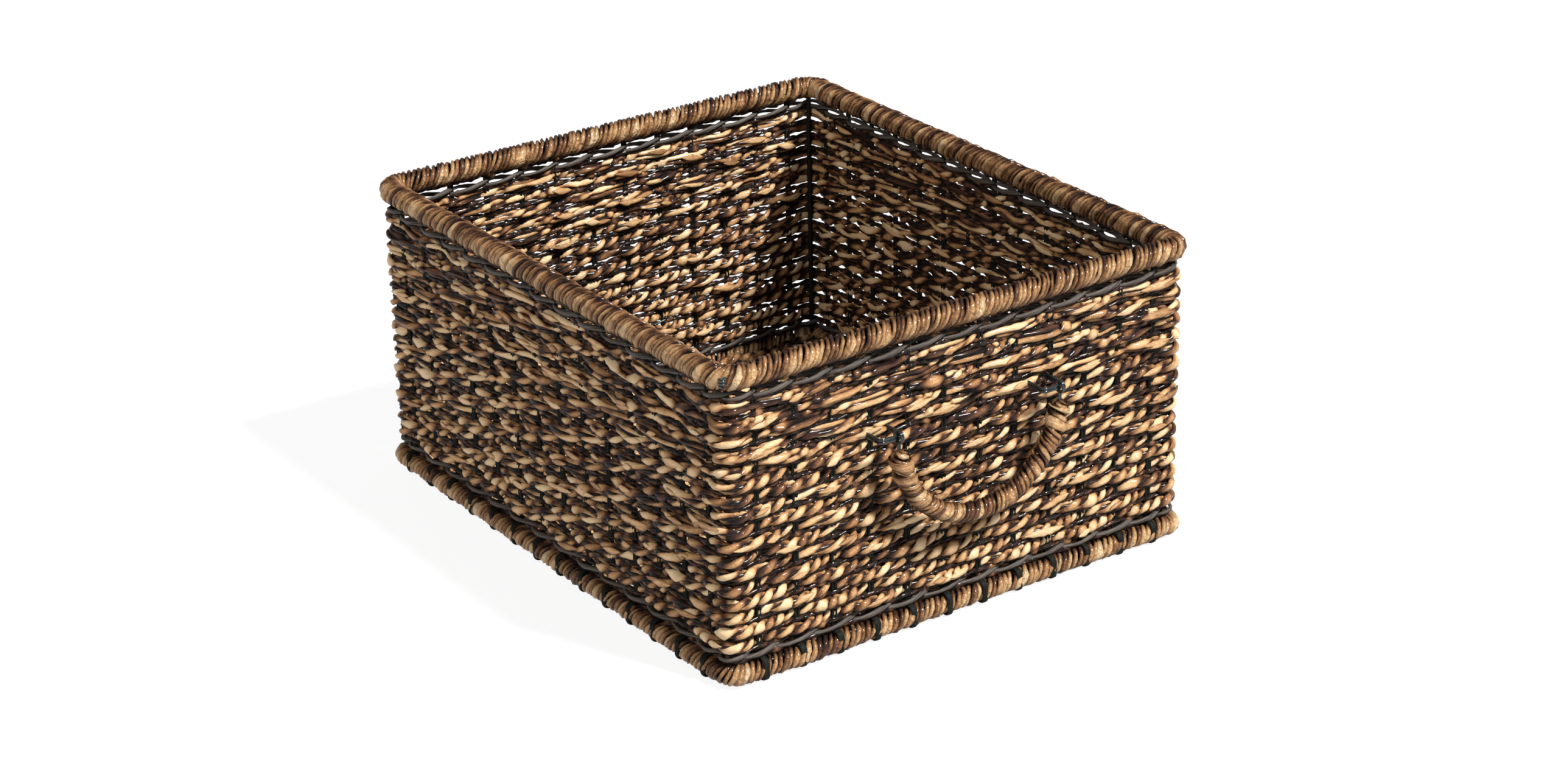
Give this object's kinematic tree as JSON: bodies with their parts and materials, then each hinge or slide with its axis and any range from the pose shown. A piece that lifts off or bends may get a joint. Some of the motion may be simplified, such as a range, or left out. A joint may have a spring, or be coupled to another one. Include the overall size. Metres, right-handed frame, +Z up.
{
  "type": "storage basket",
  "caption": "Rectangular open-topped storage basket of twisted rope woven on dark stakes, with a wrapped rim and base and a wrapped drop handle at each end.",
  "frame": {"origin": "middle of the underside, at the plane it stands on", "axes": "+Z up, -Y to the front wall that carries the front handle, +X to the right of someone who faces the front"},
  "size_m": [0.357, 0.4414, 0.204],
  "materials": {
    "twisted_rope": "satin",
    "wound_strip": "satin",
    "grey_rattan": "satin",
    "dark_stake": "satin",
    "black_wire": "gloss",
    "steel_rod": "satin"
  },
  "bodies": {
    "basket": {"rim_rod": "steel_rod", "rim_wrap": "wound_strip", "rim_tie": "black_wire", "corner_posts": "steel_rod", "base_rod": "steel_rod", "base_wrap": "wound_strip", "stakes_front": "dark_stake", "stakes_right": "dark_stake", "stakes_back": "dark_stake", "stakes_left": "dark_stake", "floor_ribs": "dark_stake", "floor_weave": "twisted_rope", "lower_twine": "grey_rattan", "upper_twine": "grey_rattan", "weave_row_01": "twisted_rope", "weave_row_02": "twisted_rope", "weave_row_03": "twisted_rope", "weave_row_04": "twisted_rope", "weave_row_05": "twisted_rope", "weave_row_06": "twisted_rope", "weave_row_07": "twisted_rope", "weave_row_08": "twisted_rope", "weave_row_09": "twisted_rope", "weave_row_10": "twisted_rope", "weave_row_11": "twisted_rope", "weave_row_12": "twisted_rope", "weave_row_13": "twisted_rope", "weave_row_14": "twisted_rope", "weave_row_15": "twisted_rope", "weave_row_16": "twisted_rope", "weave_row_17": "twisted_rope", "front_eyes": "black_wire", "back_eyes": "black_wire"},
    "front_handle": {"front_handle_core": "black_wire", "front_handle_wrap": "wound_strip"},
    "back_handle": {"back_handle_core": "black_wire", "back_handle_wrap": "wound_strip"}
  },
  "joints": [
    {"name": "front_handle_swing", "type": "hinge", "parent": "basket", "child": "front_handle", "pos_m": [0, -0.2132, 0.1374], "axis": [-1, 0, 0], "range_deg": [0, 175]},
    {"name": "back_handle_swing", "type": "hinge", "parent": "basket", "child": "back_handle", "pos_m": [0, 0.2132, 0.1374], "axis": [1, 0, 0], "range_deg": [0, 175]}
  ]
}
